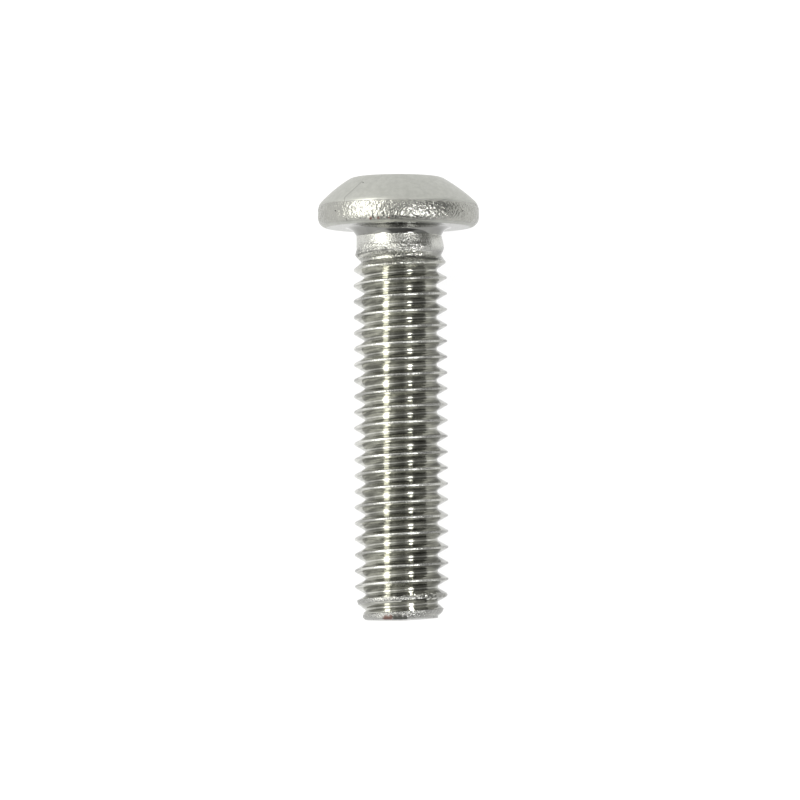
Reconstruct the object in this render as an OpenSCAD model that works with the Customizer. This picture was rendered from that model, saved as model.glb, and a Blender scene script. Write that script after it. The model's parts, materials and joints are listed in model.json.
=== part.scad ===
// Button-head machine screw with a hexagon socket, forged and thread-rolled as one solid.
// It is drawn along its own axis (+Z towards the head, bearing face at Z = 0), then laid
// down as it comes to rest: on the rim of its head and on the last full crest of its thread.

/* [Thread] */
// Diameter over the crests
thread_d = 5.9; // [5.4:0.05:6.6]
// Distance between neighbouring crests
pitch = 1; // [0.75:0.05:1.25]
// Width of the flat on each crest
crest_flat = 0.14; // [0.08:0.01:0.2]
// Width of the flat at the bottom of the groove
root_flat = 0.12; // [0.08:0.01:0.2]
// Angle between the two flanks of the groove
flank_angle = 60; // [50:1:70]
// Length over which the rolled thread reaches its full depth below the neck
runout = 1.6; // [0.8:0.1:2.5]

/* [Shank] */
// Length from the bearing face to the tip
length = 24.8; // [14:0.1:32]
// Diameter of the plain neck, which is the blank that the thread is rolled on
neck_d = 5.36; // [5:0.02:5.6]
// Length of the plain neck below the bearing face
neck_length = 1.2; // [1:0.1:2.5]
// Radius of the fillet between the neck and the bearing face
neck_fillet = 0.8; // [0.3:0.05:0.9]
// Length of the tapered tip
tip_length = 1.8; // [1:0.1:2.4]
// Diameter of the flat end of the tip
tip_d = 4.7; // [4:0.1:5.2]
// Radius of the edge around the flat end
tip_edge = 0.3; // [0.1:0.05:0.5]

/* [Head] */
// Diameter of the head over its rim
head_d = 10.2; // [9.4:0.1:11.6]
// Height of the head above the bearing face
head_h = 3.18; // [2.8:0.02:3.5]
// Diameter at which the flat top and the dome would meet without a rounded edge
land_d = 5.65; // [5.4:0.05:6.6]
// Radius of the dome's curve
dome_radius = 9.5; // [6:0.5:14]
// Height at which the dome and the rim would meet without a rounded edge
rim_h = 1.38; // [1.26:0.02:1.6]
// Radius of the edge between the flat top and the dome
land_edge = 0.75; // [0.4:0.05:1.2]
// Radius of the edge between the dome and the rim
rim_top_edge = 0.9; // [0.4:0.1:1.1]
// Radius of the edge between the rim and the bearing face
rim_bottom_edge = 0.65; // [0.3:0.05:0.7]

/* [Socket] */
// Width across the flats of the hexagon socket
socket_af = 4; // [3:0.1:4.4]
// Depth of the hexagon's flats below the top of the head
socket_depth = 2.1; // [1.2:0.1:2.4]
// Depth of the cone that the punch leaves below the flats
socket_cone = 0.5; // [0.2:0.1:0.8]
// Width of the bevel around the socket's mouth, measured out from the flats
socket_bevel = 0.35; // [0.1:0.05:0.5]

/* [Hidden] */
steel = [0.74, 0.74, 0.71];
arc_step = 6;     // degrees between neighbouring points of a rounded edge
helix_steps = 30; // sides of the thread in one turn
trim = 1;         // how far a cutting shape reaches past what it cuts
mesh_margin = 0.02; // the many-sided thread blank stands this much proud of the round neck
$fn = 90;

head_r = head_d / 2;
neck_r = neck_d / 2;
thread_r = thread_d / 2;
tip_r = tip_d / 2;
tip_shoulder = tip_length - length;

// Points of a circular arc about a centre, from one angle to another
function arc(centre, radius, from, to) =
    let (steps = max(1, ceil(abs(to - from) / arc_step)))
    [for (i = [0:steps]) centre + radius * [cos(from + (to - from) * i / steps), sin(from + (to - from) * i / steps)]];

function direction(from, to) = atan2(to.y - from.y, to.x - from.x);

// The dome's curve runs through the two points where it would meet the flat top and the rim
dome_start = [land_d / 2, head_h];
dome_end = [head_r, rim_h];
dome_chord = dome_end - dome_start;
dome_inward = [dome_chord.y, -dome_chord.x] / norm(dome_chord);
dome_centre = (dome_start + dome_end) / 2
    + dome_inward * sqrt(pow(dome_radius, 2) - pow(norm(dome_chord) / 2, 2));

// Centres of the rounded edges, each tangent to the two lines or curves that it joins
land_edge_centre = [
    dome_centre.x + sqrt(pow(dome_radius - land_edge, 2) - pow(head_h - land_edge - dome_centre.y, 2)),
    head_h - land_edge,
];
rim_top_centre = [
    head_r - rim_top_edge,
    dome_centre.y + sqrt(pow(dome_radius - rim_top_edge, 2) - pow(head_r - rim_top_edge - dome_centre.x, 2)),
];
rim_bottom_centre = [head_r - rim_bottom_edge, rim_bottom_edge];
fillet_centre = [neck_r + neck_fillet, -neck_fillet];
dome_from = direction(dome_centre, land_edge_centre);
dome_to = direction(dome_centre, rim_top_centre);

// Half outline of the head and neck, as distance from the axis and height
head_outline = concat(
    [[0, head_h]],
    arc(land_edge_centre, land_edge, 90, dome_from),
    arc(dome_centre, dome_radius, dome_from, dome_to),
    arc(rim_top_centre, rim_top_edge, dome_to, 0),
    arc(rim_bottom_centre, rim_bottom_edge, 0, -90),
    arc(fillet_centre, neck_fillet, 90, 180),
    [[neck_r, -neck_length], [0, -neck_length]]
);

// Thread section over one pitch, from the bottom of one groove to the next: height and radius
flank_width = (pitch - crest_flat - root_flat) / 2;
thread_depth = flank_width / tan(flank_angle / 2);
section = [
    [0, thread_r - thread_depth],
    [root_flat, thread_r - thread_depth],
    [root_flat + flank_width, thread_r],
    [root_flat + flank_width + crest_flat, thread_r],
];
rows = len(section);

// The helix starts a full turn below the tip, in step with the crest that the screw rests on,
// and ends a full turn above the bottom of the neck
turns_below = ceil((tip_length - section[2].x) / pitch) + 1;
helix_bottom = tip_shoulder - section[2].x - turns_below * pitch;
turns = ceil((-neck_length - helix_bottom) / pitch) + 1;
last_step = turns * helix_steps;
blank_r = (neck_r + mesh_margin) / cos(180 / helix_steps);

// Share of its full depth that the thread has at a height
function thread_share(z) = min(1, max(0, (-neck_length - z) / runout));

// Point of one row of the section at one step along the helix, which passes the resting side at step 0
function helix_point(row, step) =
    let (
        z = helix_bottom + section[row].x + pitch * step / helix_steps,
        radius = blank_r + (section[row].y - blank_r) * thread_share(z),
        angle = 90 + 360 * step / helix_steps
    )
    [radius * cos(angle), radius * sin(angle), z];

function helix_index(row, step) = row * (last_step + 1) + step;

// The two triangles between a step and the next one, on the strip above a row
function strip(low_row, low_step, high_row, high_step) = [
    [helix_index(low_row, low_step), helix_index(high_row, high_step), helix_index(low_row, low_step + 1)],
    [helix_index(low_row, low_step + 1), helix_index(high_row, high_step), helix_index(high_row, high_step + 1)],
];

// A fan of triangles between a loop of points and one point on the axis
function fan(loop, apex) = [for (i = [0:len(loop) - 1]) [loop[i], loop[(i + 1) % len(loop)], apex]];

// Threaded bar, longer than the screw at both ends
module threaded_bar() {
    top_row = rows - 1;
    bottom_apex = rows * (last_step + 1);
    bottom_loop = concat(
        [for (s = [0:helix_steps]) helix_index(0, s)],
        [for (r = [top_row:-1:1]) helix_index(r, 0)]
    );
    top_loop = concat(
        [for (s = [last_step:-1:last_step - helix_steps]) helix_index(top_row, s)],
        [for (r = [0:top_row - 1]) helix_index(r, last_step)]
    );
    polyhedron(
        points = concat(
            [for (r = [0:top_row], s = [0:last_step]) helix_point(r, s)],
            [[0, 0, helix_bottom], [0, 0, helix_point(top_row, last_step).z]]
        ),
        faces = concat(
            [for (r = [0:top_row - 1], s = [0:last_step - 1]) each strip(r, s, r + 1, s)],
            [for (s = [0:last_step - helix_steps - 1]) each strip(top_row, s, 0, s + helix_steps)],
            fan(bottom_loop, bottom_apex),
            fan(top_loop, bottom_apex + 1)
        )
    );
}

// Room that the thread may fill: up to the neck, and down to the tapered tip and its rounded edge
module thread_room() {
    taper = atan2(tip_length, thread_r - tip_r);
    edge_inset = tip_edge / tan(90 - taper / 2);
    flare = trim * (thread_r - tip_r) / tip_length;
    rotate_extrude()
        polygon(concat(
            [[0, -neck_length], [thread_r + flare, -neck_length], [thread_r + flare, tip_shoulder + trim]],
            arc([tip_r - edge_inset, tip_edge - length], tip_edge, taper - 90, -90),
            [[0, -length]]
        ));
}

module thread() {
    intersection() {
        threaded_bar();
        thread_room();
    }
}

module socket() {
    inner_r = socket_af / 2;
    translate([0, 0, head_h - socket_depth])
        cylinder(h = socket_depth + trim, r = inner_r / cos(30), $fn = 6);
    translate([0, 0, head_h - socket_depth - socket_cone])
        cylinder(h = socket_cone, r1 = 0, r2 = inner_r);
    translate([0, 0, head_h - socket_bevel])
        cylinder(h = socket_bevel + trim, r1 = inner_r, r2 = inner_r + socket_bevel + trim);
}

module head_and_neck() {
    difference() {
        rotate_extrude() polygon(head_outline);
        socket();
    }
}

// Lean of the axis at rest, where one flat surface touches the rim's lower edge and the tip's shoulder
rest_span = [rim_bottom_centre.x - thread_r, rim_bottom_centre.y - tip_shoulder];
rest_lean = acos(-rim_bottom_edge / norm(rest_span)) - atan2(rest_span.y, rest_span.x);
rest_height = thread_r * cos(rest_lean) - tip_shoulder * sin(rest_lean);
far_end = max([for (p = head_outline) p.y * cos(rest_lean) + p.x * sin(rest_lean)]);
near_end = -length * cos(rest_lean) - tip_r * sin(rest_lean);

// Lies along Y with the head towards +Y, centred over the origin
module screw() {
    color(steel)
        translate([0, -(far_end + near_end) / 2, rest_height])
            rotate([rest_lean - 90, 0, 0]) {
                head_and_neck();
                thread();
            }
}

screw();
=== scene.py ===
"""A stainless button-head machine screw lies on a pale floor, seen from above as in the photograph.

The screw is one mesh in its own coordinates, in millimetres: Z along its axis towards the head, the
bearing face at Z = 0, and -Y on the side that the camera sees. It replaces the CAD solid and takes
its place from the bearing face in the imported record.
"""

import json
import math

import bpy
import numpy as np
from mathutils import Matrix, Vector, noise


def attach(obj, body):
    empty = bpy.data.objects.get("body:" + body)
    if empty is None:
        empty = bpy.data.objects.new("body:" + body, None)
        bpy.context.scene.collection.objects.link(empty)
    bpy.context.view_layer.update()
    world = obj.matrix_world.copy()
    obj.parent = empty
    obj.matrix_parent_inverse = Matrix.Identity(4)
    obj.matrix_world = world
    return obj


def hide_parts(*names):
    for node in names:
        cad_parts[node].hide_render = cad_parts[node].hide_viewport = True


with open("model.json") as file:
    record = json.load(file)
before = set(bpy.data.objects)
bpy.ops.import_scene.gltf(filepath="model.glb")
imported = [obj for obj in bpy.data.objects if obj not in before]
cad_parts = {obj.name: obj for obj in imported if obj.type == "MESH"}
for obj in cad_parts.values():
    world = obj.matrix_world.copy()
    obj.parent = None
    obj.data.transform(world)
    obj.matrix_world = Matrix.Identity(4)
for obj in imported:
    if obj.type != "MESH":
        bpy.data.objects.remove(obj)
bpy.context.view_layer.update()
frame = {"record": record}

MM = 0.001

# Thread, in millimetres
THREAD_R = 2.95
PITCH = 1.0
CREST_FLAT = 0.11
ROOT_FLAT = 0.12
FLANK_ANGLE = math.radians(60)
RUNOUT = 1.6

# Shank
LENGTH = 24.79
NECK_LENGTH = 1.2
NECK_FILLET = 0.8
TIP_LENGTH = 1.6
TIP_R = 2.38
REST_CREST_Z = -22.93
TIP_EDGE = 0.3

# Head
HEAD_R = 5.1
HEAD_H = 3.18
LAND_R = 2.825
DOME_RADIUS = 9.5
RIM_H = 1.38
LAND_EDGE = 0.75
RIM_TOP_EDGE = 0.9
RIM_BOTTOM_EDGE = 0.65

# Socket
SOCKET_R = 2.0
SOCKET_DEPTH = 2.1
SOCKET_CONE = 0.5
SOCKET_BEVEL = 0.35

# Small departures from the true form that the photograph shows. The shank and the dome's top lie off
# the axis, the end face is skewed, and the neck is waisted below a sharp crease.
SHANK_SHIFT = 0.1
SHIFT_START = -0.1
TOP_SHIFT = -0.08
END_SKEW = 0.058
END_SKEW_FADE = (0.1, 0.6)
NECK_CREASE = -0.53
NECK_WAIST = 2.64
NECK_FLARE = 2.76

# Relief of the surface: its depth and the size of its grain, then the heights, radii or places across
# between which it fades in or out. The foil's depth is a level and a swing of the noise. Nearer the axis
# than SETTLED_RADIUS there is none.
FOIL = (0.05, 0.2)
FOIL_FINE = (0.03, 0.12)
FOIL_Z = (0.14, 1.38)
FOIL_START = (0.09, 0.24)
FOIL_END = (1.38, 1.44)
FOIL_LEVEL = 0.2
FOIL_SWING = 0.5
RAGGED = (0.075, 0.2)
RAGGED_START = (-1.05, -1.35)
RAGGED_END = (-2.1, -2.9)
RAGGED_RADII = (NECK_FLARE - 0.25, NECK_FLARE)
CALM_SIDE = (1.2, 1.9)
CALM_SHARE = 0.7
NICKS = (0.15, 0.23)
NICKS_START = (-22.6, -23.0)
NICKS_RADII = (THREAD_R - 0.12, THREAD_R - 0.02)
SETTLED_RADIUS = 2.4

# Fineness of the mesh
SHANK_COLUMNS = 162
RIM_SPLIT = 4
CREST_STEPS = 4
ROOT_STEPS = 4
FLANK_SHARES = [0.12, 0.88]
RIM_STEP = 0.05
DOME_STEP = 0.13
END_RINGS = 10
END_EDGE_STEPS = 5
WALL_RINGS = 8
WALL_TOP = 0.6
FLOOR_CIRCLE = 0.998
SHARP_ANGLE = math.radians(40)
SNAP = 0.02

half_flank = FLANK_ANGLE / 2
flank_width = (PITCH - CREST_FLAT - ROOT_FLAT) / 2
thread_depth = flank_width / math.tan(half_flank)
crest_round = CREST_FLAT / 2 * math.cos(half_flank) / (1 - math.sin(half_flank))
root_round = ROOT_FLAT / 2 * math.cos(half_flank) / (1 - math.sin(half_flank))
root_r = THREAD_R - thread_depth
tip_shoulder = TIP_LENGTH - LENGTH
taper = math.atan2(TIP_LENGTH, THREAD_R - TIP_R)
end_r = TIP_R - TIP_EDGE / math.tan(math.pi / 2 - taper / 2)
edge_top = TIP_EDGE * (1 - math.cos(taper))
mouth_r = SOCKET_R + SOCKET_BEVEL


def smooth(edge0, edge1, x):
    """0 at edge0, 1 at edge1, and a smooth step between them."""
    t = np.clip((x - edge0) / (edge1 - edge0), 0, 1)
    return t * t * (3 - 2 * t)


def arc_points(centre, radius, start, end, step):
    """Points of an arc from angle start to angle end, about step apart."""
    count = max(2, math.ceil(abs(end - start) * radius / step))
    return [(centre[0] + radius * math.cos(a), centre[1] + radius * math.sin(a))
            for a in np.linspace(start, end, count + 1)]


def line_points(start, end, step):
    """Points of a straight line from start to end, about step apart."""
    count = max(1, math.ceil(math.dist(start, end) / step))
    return [tuple(point) for point in np.linspace(start, end, count + 1)]


def neck_outline():
    """Distance from the axis and height of the neck's rings, from the thread up to the bearing face."""
    fillet = (NECK_WAIST + NECK_FILLET, -NECK_FILLET)
    start = math.pi - math.asin((NECK_CREASE + NECK_FILLET) / NECK_FILLET)
    crease = (fillet[0] + NECK_FILLET * math.cos(start), NECK_CREASE)
    flare = line_points((NECK_FLARE, -NECK_LENGTH), crease, DOME_STEP / 2)[1:]
    return flare + arc_points(fillet, NECK_FILLET, start, math.pi / 2, DOME_STEP / 2)[1:]


def head_outline():
    """Distance from the axis and height of the head's rings, in three stretches: the bearing face, the
    rim and the dome up to the socket's mouth."""
    quarter = math.pi / 2
    start, end = np.array([LAND_R, HEAD_H]), np.array([HEAD_R, RIM_H])
    chord = end - start
    half = np.linalg.norm(chord) / 2
    inward = np.array([chord[1], -chord[0]]) / (2 * half)
    dome = (start + end) / 2 + inward * math.sqrt(DOME_RADIUS ** 2 - half ** 2)
    land_y = HEAD_H - LAND_EDGE
    land = (dome[0] + math.sqrt((DOME_RADIUS - LAND_EDGE) ** 2 - (land_y - dome[1]) ** 2), land_y)
    rim_x = HEAD_R - RIM_TOP_EDGE
    rim = (rim_x, dome[1] + math.sqrt((DOME_RADIUS - RIM_TOP_EDGE) ** 2 - (rim_x - dome[0]) ** 2))
    dome_from = math.atan2(land[1] - dome[1], land[0] - dome[0])
    dome_to = math.atan2(rim[1] - dome[1], rim[0] - dome[0])
    bottom = (HEAD_R - RIM_BOTTOM_EDGE, RIM_BOTTOM_EDGE)
    face = line_points((NECK_WAIST + NECK_FILLET, 0), (bottom[0], 0), DOME_STEP)[1:-1]
    edge = arc_points(bottom, RIM_BOTTOM_EDGE, -quarter, 0, RIM_STEP)
    edge += line_points((HEAD_R, RIM_BOTTOM_EDGE), (HEAD_R, rim[1]), RIM_STEP)[1:]
    edge += arc_points(rim, RIM_TOP_EDGE, 0, dome_to, RIM_STEP)[1:]
    top = arc_points(dome, DOME_RADIUS, dome_to, dome_from, DOME_STEP)[1:]
    top += arc_points(land, LAND_EDGE, dome_from, quarter, DOME_STEP)[1:]
    top += line_points((land[0], HEAD_H), (mouth_r, HEAD_H), DOME_STEP)[1:]
    return face, edge, top


def thread_radius(phase):
    """Radius of the full thread at a phase in pitches, where 0 is the middle of a crest. Crest and root
    are rounded inside their flats."""
    from_crest = np.abs((phase + 0.5) % 1 - 0.5) * PITCH
    from_root = PITCH / 2 - from_crest
    flank = THREAD_R - (from_crest - CREST_FLAT / 2) / math.tan(half_flank)
    crest = THREAD_R - crest_round + np.sqrt(np.maximum(crest_round ** 2 - from_crest ** 2, 0))
    root = root_r + root_round - np.sqrt(np.maximum(root_round ** 2 - from_root ** 2, 0))
    radius = np.where(from_crest < crest_round * math.cos(half_flank), crest, flank)
    return np.where(from_root < root_round * math.cos(half_flank), root, radius)


def tip_envelope(z):
    """Largest radius that the tapered tip and its rounded edge leave at a height."""
    cone = THREAD_R + (z - tip_shoulder) * (THREAD_R - TIP_R) / TIP_LENGTH
    below = np.clip(TIP_EDGE - (z + LENGTH), 0, TIP_EDGE)
    edge = end_r + np.sqrt(TIP_EDGE ** 2 - below ** 2)
    return np.where(z < -LENGTH + edge_top, edge, np.minimum(cone, THREAD_R))


def shank_radius(phase, z):
    """Radius of the shank at a phase of the thread and a height."""
    share = np.clip((-NECK_LENGTH - z) / RUNOUT, 0, 1)
    return np.minimum(NECK_FLARE + (thread_radius(phase) - NECK_FLARE) * share, tip_envelope(z))


def crest_phase(angle, z):
    """Phase of the thread at an angle about the axis and a height, from the crest that rests on the
    floor."""
    return (z - REST_CREST_Z) / PITCH - (angle - math.pi / 2) / (2 * math.pi)


def grain(point, size):
    """Noise from -1 to 1, whose grain is about size wide."""
    return noise.noise(point / size)


def relief(point):
    """How far the worn or forged surface lies inside the true form."""
    radius, z = math.hypot(point.x, point.y), point.z
    depth = 0.0
    if radius > HEAD_R - RIM_TOP_EDGE:
        share = smooth(*FOIL_START, z) * (1 - smooth(*FOIL_END, z))
        for deepest, size in (FOIL, FOIL_FINE):
            depth += share * deepest * max(0, FOIL_LEVEL + FOIL_SWING * grain(point, size))
    elif z < 0:
        share = smooth(*RAGGED_START, z) * (1 - smooth(*RAGGED_END, z)) * smooth(*RAGGED_RADII, radius)
        share *= 1 - CALM_SHARE * smooth(*CALM_SIDE, point.x)
        depth += share * RAGGED[0] * grain(point, RAGGED[1])
        share = smooth(*NICKS_RADII, radius) * smooth(*NICKS_START, z)
        depth += share * NICKS[0] * (1 + grain(point, NICKS[1])) / 2
    return depth


def settle(point):
    """Moves a point by the screw's own small departures from the true form."""
    radius = math.hypot(point.x, point.y)
    if radius > SETTLED_RADIUS:
        share = 1 - relief(point) / radius
        point.x *= share
        point.y *= share
    near_end = 1 - smooth(*END_SKEW_FADE, point.z + LENGTH)
    point.z += END_SKEW * max(point.x, 0) * near_end
    point.x += SHANK_SHIFT * smooth(SHIFT_START, -NECK_LENGTH, point.z)
    point.x += TOP_SHIFT * smooth(RIM_H, HEAD_H, point.z)
    return point


def ring_angles(columns):
    return 2 * math.pi * np.arange(columns) / columns


class ScrewMesh:
    """Gathers rings of vertices and the faces between them, from the tip up to the socket."""

    def __init__(self):
        self.points = []
        self.faces = []

    def add_point(self, x, y, z):
        self.points.append(settle(Vector((x, y, z))) * MM)
        return len(self.points) - 1

    def add_ring(self, radius, z, columns):
        """A ring of vertices. radius and z are numbers, or one value for each column."""
        angles = ring_angles(columns)
        radius, z = np.broadcast_to(radius, columns), np.broadcast_to(z, columns)
        return [self.add_point(radius[i] * math.cos(a), radius[i] * math.sin(a), z[i])
                for i, a in enumerate(angles)]

    def bridge(self, lower, upper):
        """Faces between two rings, one of which may have a whole number of times more columns."""
        count = min(len(lower), len(upper))
        for i in range(count):
            face = []
            for ring in (lower, upper):
                split = len(ring) // count
                side = [ring[(i * split + k) % len(ring)] for k in range(split + 1)]
                face += side if ring is lower else side[::-1]
            self.faces.append(face)

    def bridge_all(self, rings):
        for lower, upper in zip(rings, rings[1:]):
            self.bridge(lower, upper)

    def fan(self, ring, apex, upward):
        for i, corner in enumerate(ring):
            after = ring[(i + 1) % len(ring)]
            self.faces.append([corner, after, apex] if upward else [after, corner, apex])


def round_phases(middle, radius, steps):
    """Phases over a rounded crest or root, at even steps of the surface's slope."""
    slopes = np.linspace(half_flank - math.pi / 2, math.pi / 2 - half_flank, steps + 1)
    return middle + radius * np.sin(slopes) / PITCH


def thread_rows():
    """Phases of the mesh's rows over one pitch, closer together round the crest and the root."""
    crest = round_phases(0, crest_round, CREST_STEPS)
    root = round_phases(0.5, root_round, ROOT_STEPS)
    down = np.interp(FLANK_SHARES, [0, 1], [crest[-1], root[0]])
    up = np.interp(FLANK_SHARES, [0, 1], [root[-1], 1 + crest[0]])
    return np.concatenate([crest, down, root, up])


def add_thread(mesh, low, high):
    """Rows that follow the helix between two flat rings, at heights low and high. Returns both rings."""
    phases = thread_rows()
    per_pitch = len(phases)
    turns = math.ceil((high - low) / PITCH) + 3
    start = math.floor(crest_phase(0, low)) - 1
    steps = np.array([start + turn + phase for turn in range(turns + 1) for phase in phases])
    angles = ring_angles(SHANK_COLUMNS)
    # Height of each row at each column, where crest_phase is the row's own
    heights = (steps[:, None] - crest_phase(0, 0)) * PITCH + angles / (2 * math.pi) * PITCH
    rings = {}
    for name, z in (("low", low), ("high", high)):
        rings[name] = mesh.add_ring(shank_radius(crest_phase(angles, z), z), z, SHANK_COLUMNS)
    index = np.empty(heights.shape, int)
    for row in range(len(steps)):
        for column, angle in enumerate(angles):
            z = heights[row, column]
            if z < low + SNAP:
                index[row, column] = rings["low"][column]
            elif z > high - SNAP:
                index[row, column] = rings["high"][column]
            else:
                radius = float(shank_radius(steps[row], z))
                index[row, column] = mesh.add_point(radius * math.cos(angle), radius * math.sin(angle), z)
    for row in range(len(steps) - per_pitch - 1):
        for column in range(SHANK_COLUMNS):
            wraps = column == SHANK_COLUMNS - 1
            after, shift = (0, per_pitch) if wraps else (column + 1, 0)
            corners = [index[row, column], index[row + shift, after],
                       index[row + shift + 1, after], index[row + 1, column]]
            corners = [c for k, c in enumerate(corners) if c != corners[k - 1]]
            if len(set(corners)) > 2:
                mesh.faces.append(corners)
    return rings["low"], rings["high"]


def add_tip(mesh):
    """The flat end of the tip and its rounded edge, as rings up to the thread."""
    angles = ring_angles(SHANK_COLUMNS)
    rings = [mesh.add_ring(end_r * ring / END_RINGS, -LENGTH, SHANK_COLUMNS)
             for ring in range(1, END_RINGS + 1)]
    mesh.fan(rings[0], mesh.add_point(0, 0, -LENGTH), upward=False)
    for height in edge_top * (1 - np.cos(np.linspace(0, math.pi / 2, END_EDGE_STEPS + 1)[1:-1])):
        z = height - LENGTH
        rings.append(mesh.add_ring(shank_radius(crest_phase(angles, z), z), z, SHANK_COLUMNS))
    return rings, edge_top - LENGTH


def add_socket(mesh):
    """The socket's bevel, the hexagon's flats, and the floor with the punch cone, as rings downward."""
    angles = ring_angles(SHANK_COLUMNS)
    sixth = math.pi / 3
    hexagon = SOCKET_R / np.cos(angles % sixth - sixth / 2)
    floor = HEAD_H - SOCKET_DEPTH
    rings = [mesh.add_ring(hexagon, HEAD_H - (mouth_r - hexagon), SHANK_COLUMNS)]
    rings += [mesh.add_ring(hexagon, z, SHANK_COLUMNS)
              for z in np.linspace(HEAD_H - WALL_TOP, floor, WALL_RINGS)]
    rings.append(mesh.add_ring(SOCKET_R * FLOOR_CIRCLE, floor, SHANK_COLUMNS))
    rings.append(mesh.add_ring(SOCKET_R / 2, floor - SOCKET_CONE / 2, SHANK_COLUMNS))
    mesh.fan(rings[-1], mesh.add_point(0, 0, floor - SOCKET_CONE), upward=True)
    return rings


def build_screw():
    mesh = ScrewMesh()
    tip, thread_start = add_tip(mesh)
    low, high = add_thread(mesh, thread_start, -NECK_LENGTH)
    mesh.bridge_all(tip + [low])
    rings = [high]
    rings += [mesh.add_ring(radius, z, SHANK_COLUMNS) for radius, z in neck_outline()]
    face, edge, top = head_outline()
    rings += [mesh.add_ring(radius, z, SHANK_COLUMNS) for radius, z in face]
    rings += [mesh.add_ring(radius, z, SHANK_COLUMNS * RIM_SPLIT) for radius, z in edge]
    rings += [mesh.add_ring(radius, z, SHANK_COLUMNS) for radius, z in top]
    mesh.bridge_all(rings + add_socket(mesh))

    data = bpy.data.meshes.new("machine_screw")
    data.from_pydata(mesh.points, [], mesh.faces)
    data.validate()
    data.transform(screw_matrix())
    data.shade_smooth()
    data.set_sharp_from_angle(angle=SHARP_ANGLE)
    screw = bpy.data.objects.new("machine_screw", data)
    bpy.context.scene.collection.objects.link(screw)
    return screw


def screw_matrix():
    """From the screw's own coordinates to the frame's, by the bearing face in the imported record."""
    mount = next(m for m in frame["record"]["mounts"] if m["name"] == "bearing_face")
    axis = -Vector(mount["axis"]).normalized()
    side = Vector((1, 0, 0))
    matrix = Matrix((side, axis.cross(side), axis)).transposed().to_4x4()
    matrix.translation = Vector(mount["pos_m"])
    return matrix


class NodeTree:
    """Short calls for the nodes and links of a shader."""

    def __init__(self, owner):
        owner.use_nodes = True
        self.nodes, self.links = owner.node_tree.nodes, owner.node_tree.links
        self.nodes.clear()

    def node(self, kind, output=0, inputs=None, **settings):
        """Makes a node with the given settings and inputs, and returns one of its outputs."""
        made = self.nodes.new(kind)
        for name, value in settings.items():
            setattr(made, name, value)
        for key, value in (inputs or {}).items():
            if isinstance(value, bpy.types.NodeSocket):
                self.links.new(value, made.inputs[key])
            else:
                made.inputs[key].default_value = value
        return made.outputs[output]

    def math(self, operation, *values):
        return self.node("ShaderNodeMath", inputs=dict(enumerate(values)), operation=operation)

    def step(self, value, start, end, low=0.0, high=1.0):
        """low at start, high at end, and a smooth step between them."""
        inputs = {"Value": value, "From Min": start, "From Max": end, "To Min": low, "To Max": high}
        return self.node("ShaderNodeMapRange", inputs=inputs, interpolation_type="SMOOTHSTEP")

    def band(self, value, start, end, blur):
        """1 between start and end, and 0 outside, with a soft edge of width blur at each."""
        rise = self.step(value, start - blur / 2, start + blur / 2)
        fall = self.step(value, end - blur / 2, end + blur / 2, 1.0, 0.0)
        return self.math("MULTIPLY", rise, fall)

    def mix(self, factor, colour_a, colour_b):
        return self.node("ShaderNodeMix", 2, {0: factor, 6: colour_a, 7: colour_b}, data_type="RGBA")

    def blend(self, factor, number_a, number_b):
        return self.node("ShaderNodeMix", 0, {0: factor, 2: number_a, 3: number_b})

    def scaled(self, vector, factor):
        return self.node("ShaderNodeVectorMath", inputs={0: vector, 3: factor}, operation="SCALE")

    def output(self, kind, surface):
        made = self.nodes.new(kind)
        self.links.new(surface, made.inputs["Surface"])


# Finish of each part of the surface: its colour and its roughness
THREAD_FINISH = (0.53, 0.53, 0.487), 0.09
CREST_FINISH = (0.62, 0.62, 0.59), 0.26
ROOT_FINISH = (0.52, 0.52, 0.48), 0.16
DOME_FINISH = (0.43, 0.434, 0.404), 0.42
RIM_FINISH = (0.365, 0.365, 0.336), 0.21
NECK_FINISH = (0.54, 0.54, 0.51), 0.26
# The underside's dark colour is painted shade, for the shaded floor and neck that it reflects.
UNDER_PAINTED_SHADE = (0.24, 0.24, 0.228), 0.08
CONE_FINISH = (0.33, 0.33, 0.315), 0.26
SOCKET_FINISH = (0.50, 0.50, 0.48), 0.38
RUST = (0.17, 0.105, 0.09), 0.45
# A dark colour for dirt spots and scratches, and also for the painted shade of the collar's edge lines.
DIRT_AND_SHADE = (0.09, 0.09, 0.082), 0.5

# Fine relief: height of the bumps in millimetres, and how many grains fit in a millimetre. The bumps'
# noise has a detail and a roughness.
STRIATIONS = (0.006, 6.0)
STRIATION_SHADE = 0.42
BEADS = (0.02, 9.0)
RIM_BUMPS = (0.048, 7.5)
NECK_BUMPS = (0.035, 10.0)
FLAKES = (0.07, 8.0)
CONE_BUMPS = (0.06, 9.0)
DOME_GRAIN = (0.0015, 12.0)
BUMP_DETAIL = (2.0, 0.6)
FLAKES_Z = (-2.6, -1.15)
FLAKES_BLUR = 0.3
SCRATCH_DEPTH = -0.015
DIRT_DEPTH = -0.01

# Where each finish starts and ends: a radius, a height, or a distance from the named form
SEAM = (-0.02, 0.03)
RIM_BLUR = 0.06
RIM_INNER = (4.2, 4.3)
UNDER_BLUR = 0.03
UNDER_INNER = (2.5, 2.6)
NECK_START = (-1.8, -1.6)
NECK_END = (NECK_CREASE + 0.02, NECK_CREASE - 0.03)
CONE_SKIN = (-0.05, -0.015)
CONE_BLUR = 0.1
CONE_EDGE = (0.35, 0.25)
THREADED_Z = (-NECK_LENGTH, -1.5)
ROLLED_Z = (-NECK_LENGTH, -1.7)
CREST_RADII = (THREAD_R - 0.05, THREAD_R - 0.02)
ROOT_RISE = (0.055, 0.04)

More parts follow.
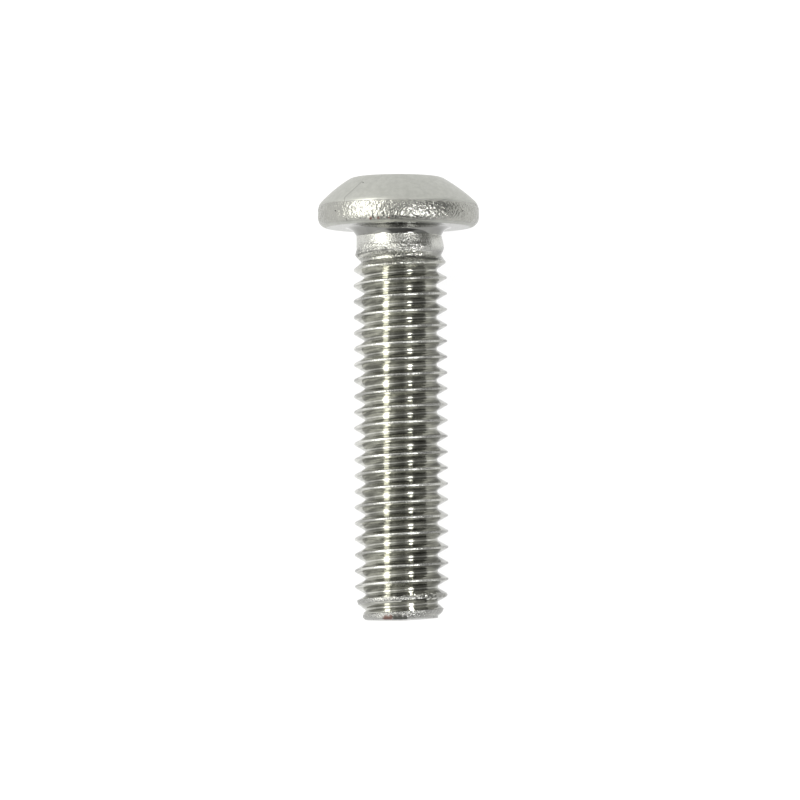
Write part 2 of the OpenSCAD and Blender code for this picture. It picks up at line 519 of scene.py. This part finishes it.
# Noise: how many grains fit in a millimetre, its detail, and the range that becomes the range after it
WOBBLE = (6.0, 3.0)
SMUDGES = (9.0, 2.0)
SMUDGE_RANGE = (0.4, 0.55)
MOTTLE = (2.5, 4.0, 0.6)
MOTTLE_RANGE = (0.3, 0.7, 0.94, 1.05)
POLISH = (7.0, 3.0)
POLISH_RANGE = (0.3, 0.7, 0.85, 1.15)
STRIATION_DRIFT = 0.5
STRIATION_RANGE = (0.58, 0.42)

# Marks on the side that faces the camera. Spots have a place across and along the screw and a radius,
# of which their blur is a share. Lines go through places of the same kind.
RUST_SPOTS = [(-0.96, -24.72, 0.2), (-0.72, -24.74, 0.2), (-1.72, 0.26, 0.08), (-1.25, 0.27, 0.07),
              (-0.58, 0.26, 0.06)]
DIRT_SPOTS = [(-2.2, 2.60, 0.04), (-3.95, 0.83, 0.045), (4.05, 0.80, 0.05), (0.55, -0.95, 0.05),
              (-0.4, -24.72, 0.2), (-0.1, -24.74, 0.24), (0.2, -24.72, 0.16)]
SCRATCH = [(-2.24, 2.71), (-3.34, 1.66), (-3.46, 1.14), (-3.2, 0.12)]
SCRATCH_WIDTH = 0.045
SCRATCH_SHADE = 0.4
# The collar's edge lines are painted shade: dark lines for the shaded groove where the thread starts.
COLLAR_EDGES = [[(-2.65, -1.86), (-2.2, -1.76), (-1.6, -1.68), (-1.0, -1.64), (-0.4, -1.66)],
                [(-0.1, -1.86), (0.4, -2.03), (1.0, -2.11), (1.7, -2.15), (2.3, -2.16)]]
COLLAR_EDGE_WIDTH = 0.11
COLLAR_EDGE_SWAY = 0.14
COLLAR_EDGE_SHADE = 0.65
STAIN_SPOTS = [(-0.45, -1.85, 0.3), (0.15, -2.0, 0.3)]
STAIN_SHADE = 0.6
RUST_BLUR = 0.4
DIRT_BLUR = 0.3
STAIN_BLUR = 0.5
LINE_END_BLUR = 0.02
FACING_Y = (0.2, -0.2)
END_RISE = (0.2, 0.3)
END_FACE = (2.08, 2.2)
# Painted shade: the thread's colour is darkened along its right side, where the floor it reflects lies in
# shadow. The place across where it starts and ends, and how much darker it gets.
PAINTED_SHADE_SIDE = (1.7, 2.4)
PAINTED_SIDE_SHADE = 0.2


def steel_material():
    material = bpy.data.materials.new("stainless_steel")
    tree = NodeTree(material)
    place = tree.node("ShaderNodeTexCoord", "Object")
    turn = screw_matrix()
    place = tree.node("ShaderNodeMapping", inputs={"Vector": place, "Location": turn.translation,
                                                   "Rotation": turn.to_euler(), "Scale": [MM] * 3},
                      vector_type="TEXTURE")
    split = tree.node("ShaderNodeSeparateXYZ", inputs={0: place}).node
    x, y, z = split.outputs
    x = tree.math("SUBTRACT", x, tree.step(z, SHIFT_START, -NECK_LENGTH, 0.0, SHANK_SHIFT))
    flat = tree.node("ShaderNodeCombineXYZ", inputs={"X": x, "Y": y})
    radius = tree.node("ShaderNodeVectorMath", "Value", {0: flat}, operation="LENGTH")

    def noise_of(scale, detail, roughness=0.5):
        inputs = {"Vector": place, "Scale": scale, "Detail": detail, "Roughness": roughness}
        return tree.node("ShaderNodeTexNoise", 0, inputs)

    # Where each finish lies
    head = tree.step(z, *SEAM)
    socket = tree.math("SUBTRACT", 1.0, tree.step(radius, mouth_r + SEAM[0], mouth_r + SEAM[1]))
    socket = tree.math("MULTIPLY", head, socket)
    rim = tree.math("MULTIPLY", tree.band(z, *FOIL_Z, RIM_BLUR), tree.step(radius, *RIM_INNER))
    # Underside of the head and the fillet, whose dark colour is painted shade
    shaded_under = tree.band(z, NECK_CREASE, FOIL_Z[0], UNDER_BLUR)
    shaded_under = tree.math("MULTIPLY", shaded_under, tree.step(radius, *UNDER_INNER))
    neck = tree.math("MULTIPLY", tree.step(z, *NECK_START), tree.step(z, *NECK_END))
    slope = (THREAD_R - TIP_R) / TIP_LENGTH
    cone_r = tree.math("MULTIPLY_ADD", z, slope, THREAD_R - tip_shoulder * slope)
    on_cone = tree.step(tree.math("SUBTRACT", radius, cone_r), *CONE_SKIN)
    cone = tree.step(z, tip_shoulder + CONE_BLUR, tip_shoulder - CONE_BLUR)
    cone = tree.math("MULTIPLY", on_cone, cone)
    end_height = tree.math("ADD", z, LENGTH)
    cone = tree.math("MAXIMUM", cone, tree.step(end_height, *CONE_EDGE))
    threaded = tree.step(z, *THREADED_Z)
    crest = tree.math("MULTIPLY", threaded, tree.step(radius, *CREST_RADII))
    root = tree.step(radius, root_r + ROOT_RISE[0], root_r + ROOT_RISE[1])
    root = tree.math("MULTIPLY", threaded, root)

    # Marks
    facing = tree.math("MAXIMUM", tree.step(radius, *END_FACE), tree.step(end_height, *END_RISE))
    facing = tree.math("MULTIPLY", facing, tree.step(y, *FACING_Y))
    wobble = noise_of(*WOBBLE)

    def spots(places, blur):
        total = 0.0
        for across, along, size in places:
            centre = (across, 0, along)
            near = tree.node("ShaderNodeCombineXYZ", inputs={"X": x, "Z": z})
            gap = tree.node("ShaderNodeVectorMath", "Value", {0: near, 1: centre}, operation="DISTANCE")
            gap = tree.math("MULTIPLY_ADD", wobble, 2 * size, tree.math("SUBTRACT", gap, size))
            total = tree.math("MAXIMUM", total, tree.step(gap, size * (1 + blur), size * (1 - blur)))
        return tree.math("MULTIPLY", total, facing)

    def drawn_line(points, width, sway=0.0):
        total = 0.0
        for (x0, z0), (x1, z1) in zip(points, points[1:]):
            length = math.dist((x0, z0), (x1, z1))
            ux, uz = (x1 - x0) / length, (z1 - z0) / length
            dx, dz = tree.math("SUBTRACT", x, x0), tree.math("SUBTRACT", z, z0)
            along = tree.math("ADD", tree.math("MULTIPLY", dx, ux), tree.math("MULTIPLY", dz, uz))
            across = tree.math("SUBTRACT", tree.math("MULTIPLY", dx, uz), tree.math("MULTIPLY", dz, ux))
            across = tree.math("ABSOLUTE", tree.math("MULTIPLY_ADD", wobble, sway, across))
            line = tree.math("MULTIPLY", tree.step(across, width, 0.0),
                             tree.band(along, 0.0, length, LINE_END_BLUR))
            total = tree.math("MAXIMUM", total, line)
        return tree.math("MULTIPLY", total, facing)

    rust = spots(RUST_SPOTS, RUST_BLUR)
    dirt = spots(DIRT_SPOTS, DIRT_BLUR)
    scratch = drawn_line(SCRATCH, SCRATCH_WIDTH)
    # Painted shade along the collar's edges, drawn as dark lines
    painted_groove_shade = tree.math("MAXIMUM", *[drawn_line(edge, COLLAR_EDGE_WIDTH, COLLAR_EDGE_SWAY)
                                    for edge in COLLAR_EDGES])
    painted_groove_shade = tree.math("MULTIPLY", painted_groove_shade, COLLAR_EDGE_SHADE)
    smudges = tree.step(noise_of(*SMUDGES), *SMUDGE_RANGE)
    stain_and_groove_shade = tree.math("MULTIPLY", spots(STAIN_SPOTS, STAIN_BLUR), smudges)
    stain_and_groove_shade = tree.math("MAXIMUM", painted_groove_shade, tree.math("MULTIPLY", stain_and_groove_shade, STAIN_SHADE))

    colour, rough = (*THREAD_FINISH[0], 1), THREAD_FINISH[1]
    layers = [(crest, CREST_FINISH), (root, ROOT_FINISH), (neck, NECK_FINISH), (cone, CONE_FINISH),
              (shaded_under, UNDER_PAINTED_SHADE), (head, DOME_FINISH), (rim, RIM_FINISH), (socket, SOCKET_FINISH),
              (rust, RUST), (dirt, DIRT_AND_SHADE), (tree.math("MULTIPLY", scratch, SCRATCH_SHADE), DIRT_AND_SHADE),
              (stain_and_groove_shade, DIRT_AND_SHADE)]
    for mask, (paint, amount) in layers:
        colour = tree.mix(mask, colour, (*paint, 1))
        rough = tree.blend(mask, rough, amount)

    # Fine lines that the rolling left along the thread, a slight mottle, and painted shade that darkens
    # the thread's right side
    inputs = {"Vector": tree.scaled(place, STRIATION_DRIFT),
              "W": tree.math("MULTIPLY", radius, STRIATIONS[1]), "Scale": 1.0, "Detail": 2.0}
    lines = tree.node("ShaderNodeTexNoise", 0, inputs, noise_dimensions="4D")
    rolled = tree.math("MULTIPLY", tree.step(z, *ROLLED_Z), tree.math("SUBTRACT", 1.0, cone))
    stripes = tree.step(lines, *STRIATION_RANGE, 0.0, STRIATION_SHADE)
    stripes = tree.math("MULTIPLY", rolled, stripes)
    mottle_and_side_shade = tree.step(noise_of(*MOTTLE), *MOTTLE_RANGE)
    mottle_and_side_shade = tree.math("MULTIPLY", mottle_and_side_shade, tree.math("SUBTRACT", 1.0, stripes))
    # Painted shade along the right side of the thread
    painted_side_shade = tree.math("MULTIPLY", rolled, tree.step(x, *PAINTED_SHADE_SIDE, 0.0, PAINTED_SIDE_SHADE))
    mottle_and_side_shade = tree.math("MULTIPLY", mottle_and_side_shade, tree.math("SUBTRACT", 1.0, painted_side_shade))
    colour = tree.scaled(colour, mottle_and_side_shade)
    rough = tree.math("MULTIPLY", rough, tree.step(noise_of(*POLISH), *POLISH_RANGE))

    # Relief, in millimetres
    height = tree.math("MULTIPLY", lines, tree.math("MULTIPLY", rolled, STRIATIONS[0]))
    rough_side = tree.step(x, *CALM_SIDE, 1.0, 1 - CALM_SHARE)
    flaky = tree.math("MULTIPLY", rough_side, tree.band(z, *FLAKES_Z, FLAKES_BLUR))
    neck = tree.math("MULTIPLY", neck, rough_side)
    bumps = [(crest, BEADS), (rim, RIM_BUMPS), (neck, NECK_BUMPS), (cone, CONE_BUMPS), (head, DOME_GRAIN),
             (flaky, FLAKES)]
    for mask, (rise, fineness) in bumps:
        amount = tree.math("MULTIPLY", mask, rise)
        height = tree.math("MULTIPLY_ADD", noise_of(fineness, *BUMP_DETAIL), amount, height)
    height = tree.math("MULTIPLY_ADD", scratch, SCRATCH_DEPTH, height)
    height = tree.math("MULTIPLY_ADD", dirt, DIRT_DEPTH, height)
    bump = tree.node("ShaderNodeBump", 0, {"Height": height, "Distance": MM})

    inputs = {"Base Color": colour, "Roughness": rough, "Normal": bump, "Metallic": 1.0}
    tree.output("ShaderNodeOutputMaterial", tree.node("ShaderNodeBsdfPrincipled", 0, inputs))
    return material


screw = build_screw()
screw.data.materials.append(steel_material())
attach(screw, "root")
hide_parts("screw")


# Tent: its level on each side, and the zones in it. A zone has the start, end and blur of its width
# along X and of its length along Y, its slant, and how much darker it is. A negative number makes it
# lighter. The zones lie round the camera, beyond the tip, at the left horizon, round the right lamp,
# and in a band across the first zone.
TENT_COLOUR = (1.0, 1.0, 0.985, 1)
TENT_LEFT = 1.5
TENT_RIGHT = 0.5
ZONES = [((-0.42, 0.90, 0.26), (-0.50, 0.48, 0.16), 0.6, 0.7),
         ((-0.34, 0.52, 0.16), (-1.1, -0.48, 0.14), 0.0, 0.76),
         ((-1.2, -0.91, 0.08), (-1.2, 1.2, 0.2), 0.0, 0.3),
         ((0.22, 0.60, 0.1), (-0.62, 0.9, 0.2), 0.0, -1.2),
         ((-0.45, 0.85, 0.2), (-0.10, 0.07, 0.06), 0.0, -2.4)]

# Floor: its size in metres, how bright it looks, and how much light it sends back to the screw
FLOOR_SIZE = 4.0
FLOOR_GLOW = 0.84
FLOOR_ALBEDO = 0.2

# Soft boxes: name, angle and lean in degrees, length and width in metres, radiance and colour
LAMPS = [("left_strip", -49, 3, 1.1, 0.15, 6.0, (1, 0.99, 0.93)),
         ("right_strip", 32.5, -22, 0.215, 0.09, 22.0, (1, 1, 1))]
LAMP_DISTANCE = 0.5


def build_floor():
    data = bpy.data.meshes.new("floor")
    half = FLOOR_SIZE / 2
    corners = [(-half, -half, 0), (half, -half, 0), (half, half, 0), (-half, half, 0)]
    data.from_pydata(corners, [], [(0, 1, 2, 3)])
    floor = bpy.data.objects.new("floor", data)
    bpy.context.scene.collection.objects.link(floor)
    material = bpy.data.materials.new("floor_white")
    tree = NodeTree(material)
    path = tree.node("ShaderNodeLightPath").node
    seen = tree.math("MAXIMUM", path.outputs["Is Camera Ray"], path.outputs["Is Glossy Ray"])
    seen = tree.math("MAXIMUM", seen, path.outputs["Is Transmission Ray"])
    glow = tree.node("ShaderNodeEmission", inputs={"Strength": tree.math("MULTIPLY", seen, FLOOR_GLOW)})
    matt = tree.node("ShaderNodeBsdfDiffuse", inputs={"Color": (*[FLOOR_ALBEDO] * 3, 1)})
    tree.output("ShaderNodeOutputMaterial", tree.node("ShaderNodeAddShader", inputs={0: glow, 1: matt}))
    data.materials.append(material)


def soft_box(name, angle, lean, length, width, radiance, colour):
    """A lamp over the screw, that faces it. Its angle is from straight up towards +X, and its lean
    from straight up towards +Y."""
    lamp = bpy.data.lights.new(name, "AREA")
    lamp.shape = "RECTANGLE"
    lamp.size = width
    lamp.size_y = length
    lamp.energy = radiance * math.pi * width * length
    lamp.color = colour
    light = bpy.data.objects.new(name, lamp)
    turn = Matrix.Rotation(math.radians(angle), 4, "Y") @ Matrix.Rotation(-math.radians(lean), 4, "X")
    light.matrix_world = turn @ Matrix.Translation((0, 0, LAMP_DISTANCE))
    bpy.context.scene.collection.objects.link(light)


def build_world():
    """A light tent, brighter on the left, with its darker and lighter zones."""
    world = bpy.data.worlds.new("tent")
    bpy.context.scene.world = world
    tree = NodeTree(world)
    place = tree.node("ShaderNodeTexCoord", "Generated")
    split = tree.node("ShaderNodeSeparateXYZ", inputs={0: place}).node
    side, along = split.outputs["X"], split.outputs["Y"]
    strength = tree.step(side, -1.0, 1.0, TENT_LEFT, TENT_RIGHT)
    for width, length, slant, depth in ZONES:
        across = tree.math("MULTIPLY_ADD", along, -slant, side)
        zone = tree.math("MULTIPLY", tree.band(across, *width), tree.band(along, *length))
        shade = tree.math("SUBTRACT", 1.0, tree.math("MULTIPLY", zone, depth))
        strength = tree.math("MULTIPLY", strength, shade)
    background = tree.node("ShaderNodeBackground", inputs={"Color": TENT_COLOUR, "Strength": strength})
    tree.output("ShaderNodeOutputWorld", background)


# The photograph's scale and where its camera stood, in millimetres from the bearing face
IMAGE_SIZE = 800
PIXELS_PER_MM = 15.85
CAMERA_DISTANCE = 408.0
CAMERA_FOOT = -31.8
AIM_HEIGHT = -10.90
AIM_SIDE = 0.05
CAMERA_ROLL = math.radians(0.27)
CLIP_START = 0.01
CLIP_END = 20


def build_camera(matrix):
    """Looks at the screw from above, from a little beyond its tip."""
    data = bpy.data.cameras.new("camera")
    camera = bpy.data.objects.new("camera", data)
    bpy.context.scene.collection.objects.link(camera)
    bpy.context.scene.camera = camera
    place = matrix @ (Vector((AIM_SIDE, -CAMERA_DISTANCE, CAMERA_FOOT)) * MM)
    aim = matrix @ (Vector((AIM_SIDE, 0, AIM_HEIGHT)) * MM)
    back = (place - aim).normalized()
    up = matrix.to_3x3() @ Vector((0, 0, 1))
    right = up.cross(back).normalized()
    turned = Matrix((right, back.cross(right), back)).transposed() @ Matrix.Rotation(-CAMERA_ROLL, 3, "Z")
    camera.matrix_world = Matrix.Translation(place) @ turned.to_4x4()
    reach = (place - aim).length / MM
    data.sensor_fit = "HORIZONTAL"
    data.angle = 2 * math.atan(IMAGE_SIZE / 2 / (PIXELS_PER_MM * reach))
    data.clip_start = CLIP_START
    data.clip_end = CLIP_END


build_floor()
build_world()
for lamp_settings in LAMPS:
    soft_box(*lamp_settings)
build_camera(screw_matrix())

bpy.context.scene.view_settings.view_transform = "Standard"
